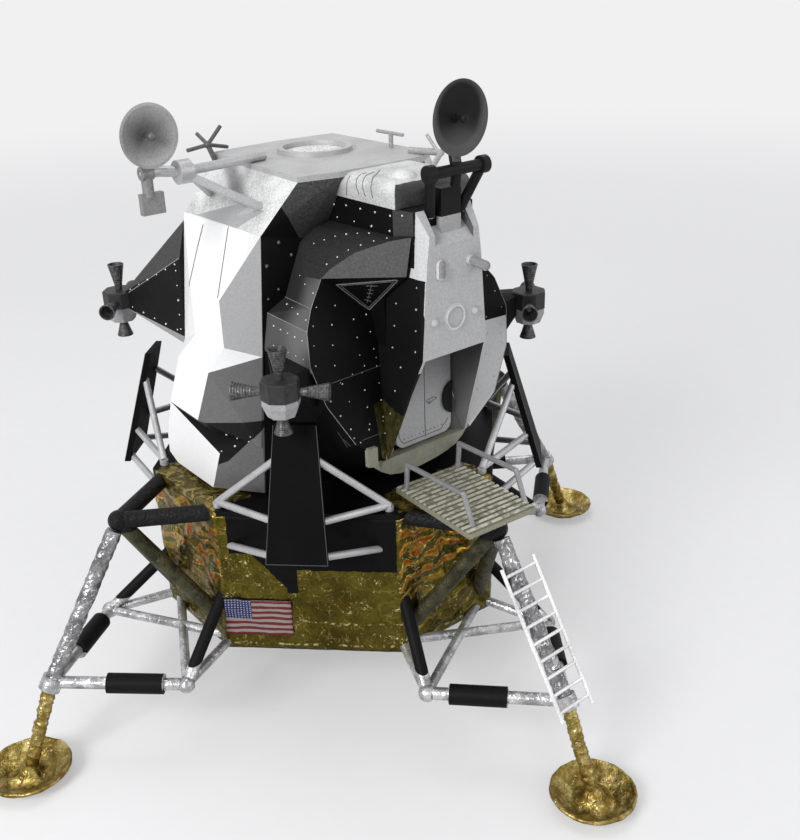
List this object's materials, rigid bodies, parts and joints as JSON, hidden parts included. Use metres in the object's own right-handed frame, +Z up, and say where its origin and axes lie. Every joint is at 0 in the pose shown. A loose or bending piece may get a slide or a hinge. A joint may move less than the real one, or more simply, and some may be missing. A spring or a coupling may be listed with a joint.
{
  "type": "scale model of a lunar lander",
  "caption": "Small plastic model of a two-stage lunar lander on four strutted legs, with footpads, ladder, platform, thruster clusters and turning antennas.",
  "frame": {"origin": "on the ground at the centre of the four footpads", "axes": "+Z up, -Y front (ladder, platform and hatch), -X starboard (dish antenna)"},
  "size_m": [0.1344, 0.1344, 0.1],
  "materials": {
    "foil_gold": "crinkled gold foil, glossy",
    "deck_black": "black paint, matt",
    "engine_grey": "dark grey paint, satin",
    "foil_black": "black paint over crinkled foil",
    "foil_silver": "crinkled silver foil, glossy",
    "paint_gold": "gold foil and paint",
    "paint_olive": "olive-grey paint, matt",
    "paint_silver": "silver paint, satin",
    "panel_black": "black paint, satin",
    "panel_grey": "light grey paint, satin",
    "panel_white": "white paint, satin",
    "nozzle_grey": "gunmetal paint, satin",
    "radar_black": "black paint, satin"
  },
  "bodies": {
    "descent_stage": {"descent_body": "foil_gold", "descent_deck": "deck_black", "engine_bell": "engine_grey", "outrigger_front": "foil_black", "outrigger_starboard": "foil_black", "outrigger_aft": "foil_black", "outrigger_port": "foil_black", "primary_strut_front": "foil_silver", "primary_strut_starboard": "foil_silver", "primary_strut_aft": "foil_silver", "primary_strut_port": "foil_silver", "side_frame_front": "foil_silver", "side_frame_starboard": "foil_silver", "side_frame_aft": "foil_silver", "side_frame_port": "foil_silver", "footpad_front": "paint_gold", "footpad_starboard": "paint_gold", "footpad_aft": "paint_gold", "footpad_port": "paint_gold", "platform": "paint_olive", "platform_rails": "paint_silver", "ladder": "paint_silver", "deflector_stays": "paint_silver", "deflector_port_aft": "panel_black", "deflector_starboard_aft": "panel_black", "deflector_starboard_front": "panel_black", "deflector_port_front": "panel_black"},
    "ascent_stage": {"midsection": "panel_black", "cabin": "panel_black", "front_panel": "panel_grey", "hatch": "panel_grey", "hatch_sill": "paint_olive", "roof_plate": "paint_silver", "roof_fairing": "paint_silver", "docking_ring": "paint_silver", "aft_bay": "panel_black", "tank_bay_starboard": "panel_white", "tank_bay_port": "panel_white", "antenna_arm": "paint_silver", "radar_yoke": "radar_black", "small_antennas": "paint_silver", "thrusters_port_aft": "nozzle_grey", "thrusters_starboard_aft": "nozzle_grey", "thrusters_starboard_front": "nozzle_grey", "thrusters_port_front": "nozzle_grey", "boom_port_aft": "panel_black", "boom_starboard_aft": "panel_black", "boom_starboard_front": "panel_black", "boom_port_front": "panel_black"},
    "steerable_antenna": {"dish_antenna": "paint_silver"},
    "radar": {"radar_antenna": "radar_black"}
  },
  "joints": [
    {"name": "lift_off", "type": "slide", "parent": "descent_stage", "child": "ascent_stage", "axis": [0, 0, 1], "range_m": [0, 0.03]},
    {"name": "dish_tilt", "type": "hinge", "parent": "ascent_stage", "child": "steerable_antenna", "pos_m": [-0.0294, -0.002, 0.0884], "axis": [1, 0, 0], "range_deg": [-60, 60]},
    {"name": "radar_tilt", "type": "hinge", "parent": "ascent_stage", "child": "radar", "pos_m": [0.00035, -0.0316, 0.0885], "axis": [1, 0, 0], "range_deg": [-45, 45]}
  ]
}
